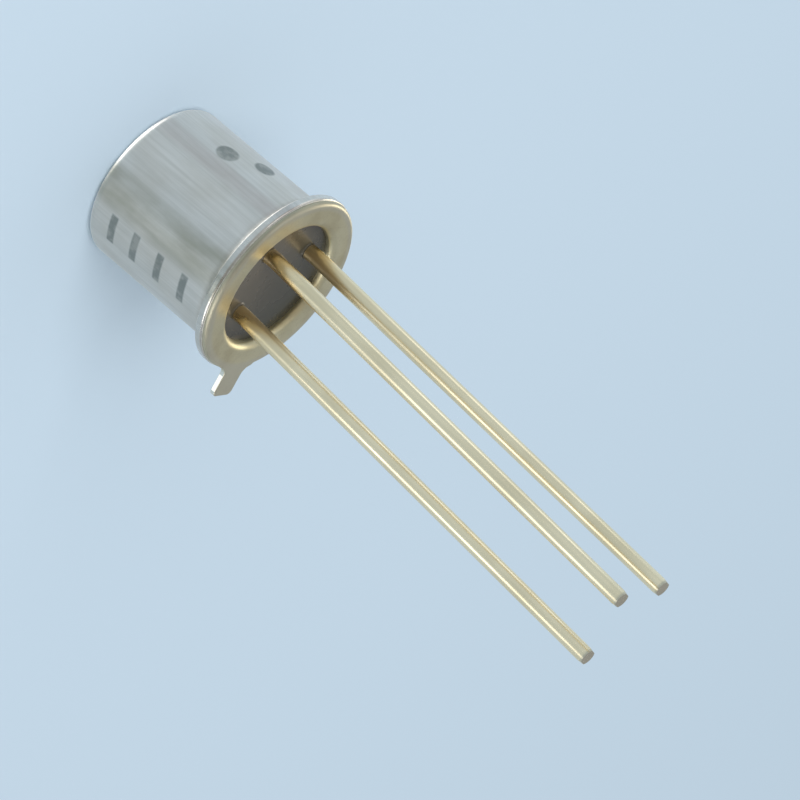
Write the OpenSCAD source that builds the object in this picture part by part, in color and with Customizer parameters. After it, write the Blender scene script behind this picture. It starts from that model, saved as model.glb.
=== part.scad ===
// Junction field-effect transistor in a round metal can with three wire leads.
// The part stands on the flat top of its can, so the leads point up (+Z).
// The origin is the centre of the can's flat top. Sizes are in millimetres.
// Angles are seen from the lead side: source lead on +X, drain lead on -Y, gate lead on -X.

/* [Can] */
// Height of the case, from the can's flat top to the seating plane of the header
case_h = 4.95; // [4.5:0.05:5.3]
// Outer diameter of the can's side wall
can_d = 4.6; // [4.55:0.05:4.9]
// Thickness of the can's side wall
can_wall = 0.2; // [0.15:0.01:0.24]
// Thickness of the can's flat top
can_top_t = 0.25; // [0.15:0.01:0.35]
// Outside radius of the edge between the flat top and the side wall
can_corner_r = 0.3; // [0.26:0.02:0.5]
// Width of the can's weld flange beyond the side wall
weld_rim_w = 0.38; // [0.36:0.01:0.48]
// Thickness of the can's weld flange
weld_flange_t = 0.26; // [0.2:0.01:0.3]
// Radius of the two rounded edges of the weld flange
flange_edge_r = 0.08; // [0.04:0.01:0.08]
// Radius of the flare between the side wall and the weld flange
flare_r = 0.28; // [0.1:0.02:0.28]

/* [Header] */
// Thickness of the header's flange
header_flange_t = 0.16; // [0.14:0.01:0.2]
// Radius of the rounded outer edge of the header's flange
header_edge_r = 0.12; // [0.06:0.01:0.13]
// How far the header's flange stays inside the edge of the can's weld flange
header_setback = 0.04; // [0.02:0.01:0.08]
// Thickness of the header cup's side wall
cup_wall = 0.18; // [0.12:0.01:0.22]
// Gap between the can's inside and the header cup's outside
cup_clearance = 0.06; // [0.03:0.01:0.1]
// Height of the header, from the seating plane to the platform that carries the die
cup_h = 1.2; // [1:0.05:1.4]
// Thickness of the platform
platform_t = 0.22; // [0.15:0.01:0.3]
// Radius of the rounded lip where the flange turns down into the cup
lip_r = 0.2; // [0.08:0.02:0.2]
// Outside radius of the platform's edge
platform_edge_r = 0.2; // [0.1:0.02:0.3]
// Inside radius between the cup's wall and its platform
cup_corner_r = 0.08; // [0.04:0.01:0.15]
// Diameter of the platform's hole for an insulated lead
feedthrough_d = 0.96; // [0.84:0.02:1.06]

/* [Locating tab] */
// Length of the tab beyond the header's flange
tab_len = 0.85; // [0.7:0.01:1.2]
// Width of the tab
tab_w = 0.78; // [0.7:0.02:1.16]
// Radius of the tab's outer corners
tab_corner_r = 0.15; // [0.05:0.01:0.3]
// Radius of the tab's root, where it joins the flange
tab_root_r = 0.3; // [0.1:0.02:0.4]

/* [Glass seal] */
// Depth of the glass at the cup's wall, below the seating plane
glass_recess = 0.26; // [0.22:0.01:0.32]
// Depth of the shallow dish in the glass, below the glass at the cup's wall
glass_dish = 0.08; // [0.03:0.01:0.12]
// Height that the glass climbs up each lead
glass_climb = 0.08; // [0.05:0.01:0.1]

/* [Leads] */
// Diameter of each lead
lead_d = 0.45; // [0.41:0.01:0.48]
// Diameter of the circle through the three leads at the glass
pin_circle_d = 2.54; // [2.4:0.02:2.6]
// Length of each lead beyond the seating plane
lead_len = 13.3; // [12.7:0.1:16]
// Angle that the source and drain leads lean away from the can's axis
lead_lean = 3.9; // [1:0.1:6]
// Angle that the gate lead leans away from the can's axis
gate_lean = 3.4; // [1:0.1:6]
// Direction that the leads lean in, from the source lead towards the tab
lean_dir = 17; // [0:1:45]
// Length of the stretch that the cutter pinched at each lead's tip
pinch_len = 0.15; // [0.1:0.05:0.4]
// Depth of the pinch on each side of a lead's tip
pinch_depth = 0.03; // [0.02:0.01:0.08]
// Height of the source and drain posts above the platform
post_h = 0.35; // [0.25:0.05:0.5]
// Diameter of the flattened head on each post
post_head_d = 0.62; // [0.54:0.02:0.76]
// Thickness of the flattened head on each post
post_head_t = 0.1; // [0.06:0.01:0.16]
// Width of the weld between the gate lead and the platform, beyond the lead
gate_weld_w = 0.1; // [0.05:0.01:0.15]

/* [Die] */
// Side of the square die
die_w = 0.5; // [0.44:0.02:0.6]
// Thickness of the die
die_t = 0.18; // [0.12:0.01:0.24]
// Thickness of the solder that holds the die
attach_t = 0.03; // [0.02:0.01:0.05]
// Width of the solder that shows round the die
attach_margin = 0.05; // [0.03:0.01:0.08]
// Thickness of the metal on the die
metal_t = 0.012; // [0.01:0.001:0.02]
// Side of each bond pad
pad_w = 0.11; // [0.1:0.01:0.12]
// Width of each metal finger
finger_w = 0.014; // [0.012:0.001:0.016]
// Number of fingers on the source's comb
finger_count = 5; // [3:1:6]

/* [Bond wires] */
// Diameter of each bond wire
wire_d = 0.03; // [0.025:0.005:0.04]
// Height of a bond wire's loop above the die
loop_h = 0.4; // [0.3:0.05:0.55]
// Diameter of the ball where a wire meets the die
ball_d = 0.08; // [0.07:0.01:0.1]
// Height of the flattened ball
ball_h = 0.03; // [0.02:0.005:0.04]

/* [Hidden] */
$fn = 64;

// Overlap that makes a union or a cut clean
bite = 0.01;

SOURCE = 0;
DRAIN = 1;
GATE = 2;
lead_angle = [0, -90, 180];
tab_angle = 45;

seat_z = case_h;
header_flange_z = seat_z - header_flange_t;
weld_flange_z = header_flange_z - weld_flange_t;
platform_z = seat_z - cup_h;
glass_edge_z = seat_z - glass_recess;
cup_floor_z = platform_z + platform_t;
post_z = platform_z - post_h;
kink_z = seat_z;
kink_swell = 0.0005;
kink_gap = 0.01;

can_r = can_d / 2;
can_inner_r = can_r - can_wall;
weld_flange_r = can_r + weld_rim_w;
flange_r = weld_flange_r - header_setback;
cup_r = can_inner_r - cup_clearance;
cup_inner_r = cup_r - cup_wall;
mouth_land = 0.1;
mouth_r = min(flare_r, flange_r - can_inner_r - mouth_land);
lead_r = lead_d / 2;
pin_r = pin_circle_d / 2;
tab_reach = flange_r + tab_len;
tab_start = cup_inner_r + lip_r;
tab_root_y = tab_w / 2 + tab_root_r;
tab_root_x = sqrt(pow(flange_r + tab_root_r, 2) - pow(tab_root_y, 2));
// The tab's root stops just short of where its fillets touch the flange, and the rounded edge starts past it.
tab_root_angle = asin(tab_root_y / (flange_r + tab_root_r));
tab_root_trim = 0.02;
tab_block_y = flange_r * sin(tab_root_angle) - tab_root_trim;
tab_root_margin = 1.5;
tab_clear = tab_root_angle + tab_root_margin;

dish_r = (pow(cup_inner_r, 2) + pow(glass_dish, 2)) / (2 * glass_dish);
dish_z = glass_edge_z - glass_dish + dish_r;
dish_sides = 720;
lead_glass_z = dish_z - sqrt(pow(dish_r, 2) - pow(pin_r, 2));
climb_sink = (lead_r + glass_climb) * pin_r / dish_r;
climb_root = 0.06;

die_z = platform_z - attach_t;
die_face_z = die_z - die_t;
metal_z = die_face_z - metal_t;
metal_bite = 0.002;
pad_margin = 0.03;
pad_offset = die_w / 2 - pad_w / 2 - pad_margin;
comb_w = 2 * (finger_count * 2 + 0.5) * finger_w;
bus_x = 0.1;

// Rings of the flattened ball: height and radius, as shares of ball_h and of half of ball_d
ball_rings = [[0, 0.8], [0.3, 1], [0.75, 1], [1, 0.64]];
// How far the loop's two middle control points rise, as shares of loop_h
first_pull = 1.3;
second_pull = 1.1;
// How far out the second control point is, as a share of the wire's span
second_reach = 0.5;
// Share of the wire's thickness that is left where it is pressed on the post
stitch_flat = 0.6;
wire_rings = 28;
wire_sides = 10;

// ---- Shared outlines and helpers ----

// Square corner minus a quarter circle: the sliver that a fillet of radius r adds or a round takes.
// The square's corner is at the origin and the arc's centre at (r, r).
module corner_sliver(r) {
    difference() {
        translate([-bite, -bite]) square(r + bite);
        translate([r, r]) circle(r);
    }
}

// A rectangle from (x0, y0) to (x1, y1).
module span(x0, y0, x1, y1) {
    translate([x0, y0]) square([x1 - x0, y1 - y0]);
}

// Moves its children to the place of lead k on the pin circle.
module at_lead(k) {
    rotate(lead_angle[k]) translate([pin_r, 0, 0]) rotate(-lead_angle[k]) children();
}

// ---- Can ----

// Half section of the space inside the can, with a rounded corner and a flared mouth.
module can_cavity_section() {
    inner_corner_r = can_corner_r - can_wall;
    difference() {
        span(-bite, can_top_t, can_inner_r, header_flange_z + bite);
        translate([can_inner_r, can_top_t]) mirror([1, 0]) corner_sliver(inner_corner_r);
    }
    translate([can_inner_r, header_flange_z]) mirror([0, 1]) corner_sliver(mouth_r);
    span(can_inner_r - bite, header_flange_z, can_inner_r + mouth_r, header_flange_z + bite);
}

// Half section of the weld flange, with both outer edges rounded.
module weld_flange_section() {
    difference() {
        span(0, weld_flange_z, weld_flange_r, header_flange_z);
        translate([weld_flange_r, weld_flange_z]) mirror([1, 0]) corner_sliver(flange_edge_r);
        translate([weld_flange_r, header_flange_z]) rotate(180) corner_sliver(flange_edge_r);
    }
}

// Drawn cap: flat top, rounded edge, straight wall, and a flare into the weld flange.
module can() {
    color("#b9bcbb")
    rotate_extrude()
    difference() {
        union() {
            difference() {
                span(0, 0, can_r, header_flange_z);
                translate([can_r, 0]) mirror([1, 0]) corner_sliver(can_corner_r);
            }
            weld_flange_section();
            translate([can_r, weld_flange_z]) mirror([0, 1]) corner_sliver(flare_r);
        }
        can_cavity_section();
    }
}

// ---- Header ----

// Half section of the cup's inside, up to height top_z.
module cup_cavity_section(top_z) {
    difference() {
        span(0, cup_floor_z, cup_inner_r, top_z);
        translate([cup_inner_r, cup_floor_z]) mirror([1, 0]) corner_sliver(cup_corner_r);
    }
}

// Outline of the locating tab, seen along the can's axis, with filleted roots.
module tab_outline() {
    difference() {
        union() {
            span(tab_start, -tab_w / 2, tab_reach, tab_w / 2);
            span(tab_start, -tab_block_y, tab_root_x, tab_block_y);
        }
        for (side = [-1, 1]) scale([1, side]) {
            translate([tab_root_x, tab_root_y]) circle(tab_root_r);
            translate([tab_reach, tab_w / 2]) rotate(180) corner_sliver(tab_corner_r);
        }
    }
}

// What is taken off to round the flange's outer edge, all the way from one root of the tab to the other.
module edge_round() {
    rotate(tab_angle + tab_clear) rotate_extrude(angle = 360 - 2 * tab_clear)
        translate([flange_r, seat_z]) rotate(180) corner_sliver(header_edge_r);
}

// Eyelet pressed from one sheet: round-edged flange with a tab, rounded lip, cup wall and platform.
module header_shell() {
    color("#c9ba88")
    difference() {
        union() {
            rotate_extrude() difference() {
                span(0, platform_z, cup_r, header_flange_z + bite);
                translate([cup_r, platform_z]) mirror([1, 0]) corner_sliver(platform_edge_r);
            }
            translate([0, 0, header_flange_z]) linear_extrude(header_flange_t) {
                circle(flange_r);
                rotate(tab_angle) tab_outline();
            }
        }
        rotate_extrude() {
            cup_cavity_section(seat_z + bite);
            translate([cup_inner_r, seat_z]) mirror([0, 1]) corner_sliver(lip_r);
        }
        edge_round();
        for (k = [SOURCE, DRAIN]) at_lead(k) translate([0, 0, platform_z - bite])
            cylinder(d = feedthrough_d, h = platform_t + 2 * bite);
    }
}

// ---- Glass ----

// Glass that climbs a round wire of radius r, as a ring with a concave side.
module climb_ring(r) {
    rotate_extrude() {
        translate([r, 0]) corner_sliver(glass_climb);
        span(r - climb_root, -bite, r, glass_climb);
    }
}

// One fused piece of glass: it fills the cup and the two holes, and holds the three leads.
module glass_seal() {
    color("#3c4042")
    difference() {
        union() {
            rotate_extrude() difference() {
                cup_cavity_section(glass_edge_z);
                translate([0, dish_z]) circle(dish_r, $fn = dish_sides);
            }
            for (k = [SOURCE, DRAIN]) at_lead(k) translate([0, 0, platform_z])
                cylinder(d = feedthrough_d, h = platform_t + bite);
            for (k = [SOURCE, DRAIN, GATE]) at_lead(k) translate([0, 0, lead_glass_z - climb_sink])
                climb_ring(lead_r);
        }
        for (k = [SOURCE, DRAIN]) lead_core(k, platform_z - bite, kink_z);
        gate_foot();
        lead_core(GATE, cup_floor_z, kink_z);
    }
}

// ---- Leads ----

// Straight stretch of lead k between two heights.
module lead_core(k, low_z, high_z) {
    at_lead(k) translate([0, 0, low_z]) cylinder(r = lead_r, h = high_z - low_z);
}

// Weld between the gate lead and the platform's inner face: a short cone.
module gate_foot() {
    at_lead(GATE) translate([0, 0, cup_floor_z])
        cylinder(r1 = lead_r + gate_weld_w, r2 = lead_r, h = gate_weld_w);
}

// Two slanted flats that a cutter leaves on a tip, drawn for a tip that ends at z = 0.
module pinch_cuts() {
    pinch_angle = atan(pinch_depth / pinch_len);
    for (side = [0, 180]) rotate(side) translate([lead_r, -lead_d, -pinch_len])
        rotate([0, -pinch_angle, 0]) cube([lead_d, 2 * lead_d, 2 * pinch_len]);
}

// Outer stretch of a lead: a kink at the seating plane, then a straight leaning wire with a cut tip.
// A ball a hair larger than the wire fills the wedge between the two straight stretches.
module leaning_wire(lean) {
    sphere(lead_r + kink_swell);
    rotate(lean_dir) rotate([0, lean, 0]) difference() {
        translate([0, 0, kink_gap]) cylinder(r = lead_r, h = lead_len - kink_gap);
        translate([0, 0, lead_len]) pinch_cuts();
    }
}

// Source or drain lead: flattened head, post through the glass, kink and outer wire.
module insulated_lead(k) {
    color("#cdbf8d") {
        lead_core(k, post_z, kink_z - kink_gap);
        at_lead(k) {
            translate([0, 0, post_z]) cylinder(d = post_head_d, h = post_head_t);
            translate([0, 0, kink_z]) leaning_wire(lead_lean);
        }
    }
}

module source_lead() {
    insulated_lead(SOURCE);
}

module drain_lead() {
    insulated_lead(DRAIN);
}

// Gate lead: welded to the platform inside the cup, so that the whole case is the gate.
module gate_lead() {
    color("#cdbf8d") {
        gate_foot();
        lead_core(GATE, cup_floor_z, kink_z - kink_gap);
        at_lead(GATE) translate([0, 0, kink_z]) leaning_wire(gate_lean);
    }
}

// ---- Die ----

// Solder that joins the die's underside to the platform.
module die_attach() {
    solder_w = die_w + 2 * attach_margin;
    color("#c8a64a")
    translate([-solder_w / 2, -solder_w / 2, die_z]) cube([solder_w, solder_w, attach_t]);
}

// A metal rectangle on the die's face, from (x0, y0) to (x1, y1).
module metal(x0, y0, x1, y1) {
    translate([x0, y0, metal_z]) cube([x1 - x0, y1 - y0, metal_t + metal_bite]);
}

// Source comb on the +X side and drain comb on the -X side, with their fingers between each other.
module die_metal() {
    pitch = 4 * finger_w;
    top_y = comb_w / 2;
    tip_gap = 1.5 * finger_w;
    metal(bus_x, -top_y, bus_x + 2 * finger_w, top_y);
    metal(bus_x, -pad_w / 2, pad_offset + pad_w / 2, pad_w / 2);
    metal(-bus_x - 2 * finger_w, -pad_offset - pad_w / 2, -bus_x, top_y);
    metal(-bus_x - 2 * finger_w, -pad_offset - pad_w / 2, pad_w / 2, -pad_offset + pad_w / 2);
    for (i = [0:finger_count - 1]) {
        y = top_y - finger_w - i * pitch;
        metal(-bus_x + tip_gap, y, bus_x + finger_w, y + finger_w);
        metal(-bus_x - finger_w, y - pitch / 2, bus_x - tip_gap, y - pitch / 2 + finger_w);
    }
}

// Silicon chip with its two metal combs and bond pads.
module jfet_die() {
    color("#6d7078") {
        translate([-die_w / 2, -die_w / 2, die_face_z]) cube([die_w, die_w, die_t]);
        die_metal();
    }
}

// ---- Bond wires ----

// Cubic curve through its four control points at t from 0 to 1.
function bezier(p, t) =
    pow(1 - t, 3) * p[0] + 3 * pow(1 - t, 2) * t * p[1] + 3 * (1 - t) * t * t * p[2] + t * t * t * p[3];

// Half thickness of the wire at ring i: a flattened ball on the die, then the plain wire.
function wire_half(i) = i < len(ball_rings) ? ball_rings[i][1] * ball_d / 2 : wire_d / 2;

// Tube in the XZ plane from a ball bond at (0, 0) to a stitch bond at (span_x, end_z).
module bond_wire(span_x, end_z) {
    control = [
        [0, -ball_h],
        [0, -loop_h * first_pull],
        [span_x * second_reach, -loop_h * second_pull],
        [span_x, end_z]
    ];
    ball_path = [for (ring = ball_rings) [0, -ball_h * ring[0]]];
    loop_path = [for (i = [1:wire_rings]) bezier(control, i / wire_rings)];
    path = concat(ball_path, loop_path);
    last = len(path) - 1;
    points = [
        for (i = [0:last]) let (
            ahead = path[min(i + 1, last)],
            behind = path[max(i - 1, 0)],
            along = i < len(ball_rings) ? [0, -1] : (ahead - behind) / norm(ahead - behind),
            half = wire_half(i),
            flat = i == last ? stitch_flat : 1
        )
        for (j = [0:wire_sides - 1]) let (
            turn = 360 * j / wire_sides,
            across = half * flat * cos(turn),
            ring_x = path[i][0] - along[1] * across,
            ring_z = path[i][1] + along[0] * across,
            slide = i == last ? (end_z - ring_z) / along[1] : 0
        )
        [ring_x + along[0] * slide, half * sin(turn) / flat, ring_z + along[1] * slide]
    ];
    sides = [
        for (i = [0:last - 1]) for (j = [0:wire_sides - 1]) let (
            a = i * wire_sides + j,
            b = i * wire_sides + (j + 1) % wire_sides
        )
        each [[a, b, b + wire_sides], [a, b + wire_sides, a + wire_sides]]
    ];
    start_cap = [[for (j = [wire_sides - 1:-1:0]) j]];
    end_cap = [[for (j = [0:wire_sides - 1]) last * wire_sides + j]];
    color("#d9b25a") polyhedron(points, concat(sides, start_cap, end_cap));
}

// Wire from the source's bond pad to the head of the source post.
module source_bond_wire() {
    translate([pad_offset, 0, metal_z]) bond_wire(pin_r - pad_offset, post_z - metal_z);
}

// Wire from the drain's bond pad to the head of the drain post.
module drain_bond_wire() {
    translate([0, -pad_offset, metal_z]) rotate(-90) bond_wire(pin_r - pad_offset, post_z - metal_z);
}

can();
header_shell();
glass_seal();
source_lead();
drain_lead();
gate_lead();
die_attach();
jfet_die();
source_bond_wire();
drain_bond_wire();
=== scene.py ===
# %% [markdown]
# # A small metal-can transistor
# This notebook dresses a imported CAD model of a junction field-effect transistor: a drawn, nickel-plated
# can, a gold-plated header with a locating tab, a dark glass seal and three gold-plated leads. Inside sit
# the die and its wires. The part stands on the flat top of its can, leads up. Places come from the CAD
# frame, and sizes are in millimetres until the moment a mesh is made.

# %% Load the frame
import math

import bpy
import numpy as np
from mathutils import Matrix, Vector


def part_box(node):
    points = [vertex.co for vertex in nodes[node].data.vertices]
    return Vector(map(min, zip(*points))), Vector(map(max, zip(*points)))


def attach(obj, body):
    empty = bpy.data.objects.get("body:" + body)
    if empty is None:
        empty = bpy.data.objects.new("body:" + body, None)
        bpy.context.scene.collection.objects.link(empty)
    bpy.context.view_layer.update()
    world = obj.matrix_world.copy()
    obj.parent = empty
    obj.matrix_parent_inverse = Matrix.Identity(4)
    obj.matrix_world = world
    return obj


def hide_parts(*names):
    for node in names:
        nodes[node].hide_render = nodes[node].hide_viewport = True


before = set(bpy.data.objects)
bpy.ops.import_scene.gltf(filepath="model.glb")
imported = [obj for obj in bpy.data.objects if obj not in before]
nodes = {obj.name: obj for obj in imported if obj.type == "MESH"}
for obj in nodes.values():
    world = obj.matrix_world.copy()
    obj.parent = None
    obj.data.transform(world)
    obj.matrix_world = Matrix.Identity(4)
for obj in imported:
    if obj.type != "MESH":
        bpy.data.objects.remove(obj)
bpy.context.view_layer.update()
MM = 0.001
scene = bpy.context.scene

# %% [markdown]
# ## Driving sizes
# A dressed piece has to fit the CAD piece it stands for. The sizes could be typed again, but then a changed
# CAD model would leave them behind. So the boxes of the nodes give the heights and reaches, and only what a
# box can't give, such as a wall thickness or a corner radius, is a driving size of its own.

# %% Sizes read from the frame, in millimetres


def box_mm(node):
    """Lowest and highest corners of a CAD node, in millimetres."""
    low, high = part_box(node)
    return np.array(low) / MM, np.array(high) / MM


can_high = box_mm("can")[1]
header_low, header_high = box_mm("header_shell")
RIM_R = can_high[0]
HEADER_Z = can_high[2]
SEAT_Z = header_high[2]
PLATFORM_Z = header_low[2]
print("seating plane", round(SEAT_Z, 2), "flange", round(HEADER_Z, 2), "rim radius", round(RIM_R, 2))

# %% Driving sizes of the can, in millimetres
CAN_R = 2.3
CAN_WALL = 0.2
CAN_TOP_T = 0.25
CAN_CORNER_R = 0.3
RIM_T = 0.26
RIM_EDGE_R = 0.08
FLARE_R = 0.28
RIM_Z = HEADER_Z - RIM_T
FLARE_Z = RIM_Z - FLARE_R
print("wall ends at", round(FLARE_Z, 2), "and the rim starts at", round(RIM_Z, 2))

# %% Driving sizes of the header and the leads, in millimetres
FLANGE_R = RIM_R - 0.04
FLANGE_EDGE_R = 0.12
CUP_R = 2.04
CUP_WALL = 0.18
PLATFORM_T = 0.22
LIP_R = 0.2
PIN_R = 1.27
LEAD_R = 0.225
LEAD_LEN = 13.3
print("flange radius", round(FLANGE_R, 2), "flange thickness", round(SEAT_Z - HEADER_Z, 2))

# %% [markdown]
# ## Camera
# A long lens looks down on the header at a shallow angle, and it is rolled so that the leads run to the
# lower right. A camera could be placed by eye and turned to track a point, but the roll would then need a
# second try. Here its place follows from one point of the part, the pixel where that point lies, and the
# scale there.

# %% Camera sizes
IMAGE_PX = 800
SENSOR_MM = 36.0
CLIP_M = (0.001, 10)
VIEW_AZIMUTH = math.radians(20.0)
VIEW_ELEVATION = math.radians(24.0)
VIEW_ROLL = math.radians(130.25)
VIEW_DISTANCE_MM = 149.2
PX_PER_MM = 38.69
SEAT_PIXEL = (280.7, 287.5)
SIDE = Vector((math.cos(VIEW_AZIMUTH), math.sin(VIEW_AZIMUTH), 0))
AWAY = Vector((-math.sin(VIEW_AZIMUTH), math.cos(VIEW_AZIMUTH), 0))


def toward(turn, rise):
    """Unit vector that leaves the part: turned from -AWAY towards SIDE, and risen, both in degrees."""
    a, e = math.radians(turn), math.radians(rise)
    across, along = math.sin(a) * math.cos(e), math.cos(a) * math.cos(e)
    return SIDE * across - AWAY * along + Vector((0, 0, math.sin(e)))


print("the view comes from", [round(c, 2) for c in toward(0, math.degrees(VIEW_ELEVATION))])

# %% Place the camera


def make_camera():
    """Camera whose picture shows the middle of the seating plane at SEAT_PIXEL, with PX_PER_MM there."""
    back = toward(0, math.degrees(VIEW_ELEVATION))
    upright = back.cross(SIDE)
    right = SIDE * math.cos(VIEW_ROLL) + upright * math.sin(VIEW_ROLL)
    up = upright * math.cos(VIEW_ROLL) - SIDE * math.sin(VIEW_ROLL)
    across = (SEAT_PIXEL[0] - IMAGE_PX / 2) / PX_PER_MM
    above = (IMAGE_PX / 2 - SEAT_PIXEL[1]) / PX_PER_MM
    place = Vector((0, 0, SEAT_Z)) + back * VIEW_DISTANCE_MM - right * across - up * above
    data = bpy.data.cameras.new("camera")
    data.sensor_width = SENSOR_MM
    data.lens = PX_PER_MM * VIEW_DISTANCE_MM / IMAGE_PX * SENSOR_MM
    data.clip_start, data.clip_end = CLIP_M
    camera = bpy.data.objects.new("camera", data)
    camera.matrix_world = Matrix.Translation(place * MM) @ Matrix((right, up, back)).transposed().to_4x4()
    scene.collection.objects.link(camera)
    return camera


scene.camera = make_camera()
scene.view_settings.view_transform = "Standard"
print("lens in mm:", round(scene.camera.data.lens, 1))

# %% [markdown]
# ## Colours and nodes
# Node trees could be drawn by hand in the editor, but written ones can be read and repeated. Colours are
# sRGB hex values, and one function turns them to linear. One small function adds a shader node with its
# settings and links, and every material below is built with it.

# %% Colours and the one node function
MIX = "ShaderNodeMix"
MATH = "ShaderNodeMath"
VECTOR = "ShaderNodeVectorMath"
RANGE = "ShaderNodeMapRange"
NOISE = "ShaderNodeTexNoise"
COLOUR = {"data_type": "RGBA"}
SMOOTH = {"interpolation_type": "SMOOTHSTEP"}
PRODUCT = {"operation": "MULTIPLY"}
PLUS_PRODUCT = {"operation": "MULTIPLY_ADD"}
# Sockets of a Mix node that mixes colours
SHARE, BELOW, ABOVE, MIXED = 0, 6, 7, 2


def linear(hex_colour):
    """sRGB hex to linear: values up to 0.04045 are divided by 12.92, others follow the 2.4 power curve."""
    channels = np.array([int(hex_colour[i:i + 2], 16) for i in (1, 3, 5)]) / 255.0
    curve = np.where(channels <= 0.04045, channels / 12.92, ((channels + 0.055) / 1.055) ** 2.4)
    return (*[float(c) for c in curve], 1.0)


def add(tree, kind, inputs=(), out=0, **settings):
    """Adds a node and gives one output. Inputs are values or sockets, in order, or by name or number."""
    node = tree.nodes.new(kind)
    for name, value in settings.items():
        setattr(node, name, value)
    for key, value in inputs.items() if isinstance(inputs, dict) else enumerate(inputs):
        if isinstance(value, bpy.types.NodeSocket):
            tree.links.new(value, node.inputs[key])
        else:
            node.inputs[key].default_value = value
    return node.outputs[out] if len(node.outputs) else None


print("#808080 is", round(linear("#808080")[0], 3), "in linear light")

# %% Start and finish of a material


def start(name):
    """An empty node material, its tree, and the place on the object in millimetres, for real scales."""
    material = bpy.data.materials.new(name)
    material.use_nodes = True
    tree = material.node_tree
    tree.nodes.clear()
    spot = add(tree, "ShaderNodeTexCoord", out="Object")
    place = add(tree, VECTOR, {0: spot, "Scale": 1 / MM}, operation="SCALE")
    return material, tree, place


def finish(material, surface, relief=None, depth_mm=0.0):
    """Ends a material. surface holds the Principled sockets, and relief is a bump pattern of that depth."""
    tree = material.node_tree
    if relief is not None:
        surface["Normal"] = add(tree, "ShaderNodeBump", {
            "Strength": 1.0, "Distance": depth_mm * MM, "Height": relief})
    add(tree, "ShaderNodeOutputMaterial", {"Surface": add(tree, "ShaderNodeBsdfPrincipled", surface)})
    print("made", material.name)
    return material


# %% Masks by place


def away_from_axis(tree, place):
    """Distance from the Z axis, in millimetres: the length of the place with its height taken out."""
    flat = add(tree, VECTOR, (place, (1, 1, 0)), **PRODUCT)
    return add(tree, VECTOR, (flat,), "Value", operation="LENGTH")


def stripe(tree, place, turn, inner, outer):
    """Mask of a stripe along the can at a turn: full within inner degrees of it, and gone at outer."""
    flat = add(tree, VECTOR, (place, (1, 1, 0)), **PRODUCT)
    unit = add(tree, VECTOR, (flat,), operation="NORMALIZE")
    near = add(tree, VECTOR, (unit, toward(turn, 0)), "Value", operation="DOT_PRODUCT")
    return add(tree, RANGE, (near, math.cos(math.radians(outer)), math.cos(math.radians(inner))), **SMOOTH)


print("a stripe of 9 degrees is gone where the cosine is under", round(math.cos(math.radians(9)), 3))

# %% [markdown]
# ## Nickel plate
# The can is drawn from sheet and plated with satin nickel. Drawing leaves fine lengthwise lines, and
# handling leaves a dull haze. Three darker stripes along the wall are painted reflection and shade, set by
# turn, so that the wall is darker on some sides. A glossy metal with a picture of scratches could do for one
# view, but noise on the object's own coordinates holds from every side and at every distance. The printed
# batch code is left out: its place holds four plain worn bars and two plain dots.

# %% Printed marks on the can
INK_TURN = 47
BAR_HEIGHTS = (0.92, 1.75, 2.65, 3.55)
BAR_HALF_LENGTH = (0.48, 0.40)
BAR_HALF_THICKNESS = (0.15, 0.09)
# Distance from the axis over which the bars appear, which keeps them off the far wall
BAR_SIDE = (1.0, 1.5)
# Turn, height and radius of each dot
DOTS = ((-50, 2.02, 0.31), (-64, 2.9, 0.28))
DOT_BLUR = 0.04


def bars(tree, place):
    """Mask of a row of short bars, each across the can, at INK_TURN."""
    sideways = add(tree, VECTOR, (place, toward(INK_TURN + 90, 0)), "Value", operation="DOT_PRODUCT")
    sideways = add(tree, MATH, (sideways,), operation="ABSOLUTE")
    length = add(tree, RANGE, (sideways, *BAR_HALF_LENGTH), **SMOOTH)
    height = add(tree, "ShaderNodeSeparateXYZ", (place,), "Z")
    total = 0.0
    for z in BAR_HEIGHTS:
        off = add(tree, MATH, (height, z), operation="SUBTRACT")
        off = add(tree, MATH, (off,), operation="ABSOLUTE")
        bar = add(tree, RANGE, (off, *BAR_HALF_THICKNESS), **SMOOTH)
        total = add(tree, MATH, (total, bar), operation="ADD")
    outward = add(tree, VECTOR, (place, toward(INK_TURN, 0)), "Value", operation="DOT_PRODUCT")
    facing = add(tree, RANGE, (outward, *BAR_SIDE), **SMOOTH)
    return add(tree, MATH, (add(tree, MATH, (total, length), **PRODUCT), facing), **PRODUCT)


def dots(tree, place):
    """Mask of the plain round dots: distance from each dot's centre on the wall."""
    total = 0.0
    for turn, z, radius in DOTS:
        centre = toward(turn, 0) * CAN_R + Vector((0, 0, z))
        gap = add(tree, VECTOR, (place, centre), "Value", operation="DISTANCE")
        dot = add(tree, RANGE, (gap, radius + DOT_BLUR, radius - DOT_BLUR), **SMOOTH)
        total = add(tree, MATH, (total, dot), operation="ADD")
    return total


print(len(BAR_HEIGHTS), "bars and", len(DOTS), "dots")

# %% Nickel material
# The patterns' widths and lengths and the bump's depth are in millimetres. Drawing lines are usually about
# 0.02 mm wide. They are drawn 0.09 mm wide, so that they show.
LINE_WIDTH = 0.09
LINE_LENGTH = 2.6
HAZE_WIDTH = 1.1
HAZE_LENGTH = 1.6
# Size of the noise that breaks up the painted reflection bands
BAND_NOISE_WIDTH = 0.5
BAND_NOISE_LENGTH = 1.2
CHIP_WIDTH = 0.2
CHIP_LENGTH = 0.24
NICKEL_RELIEF = 0.0012
# Turn, inner and outer half width in degrees, colour and amount of each painted reflection band, which
# darkens the wall on one side: an olive band, a brownish line, a grey band
PAINTED_REFLECTION_BANDS = ((20, 7, 18, "#8f8b74", 0.6), (-35, 2, 9, "#b3a096", 0.35), (60, 12, 48, "#a6a69e", 0.3))


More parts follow.
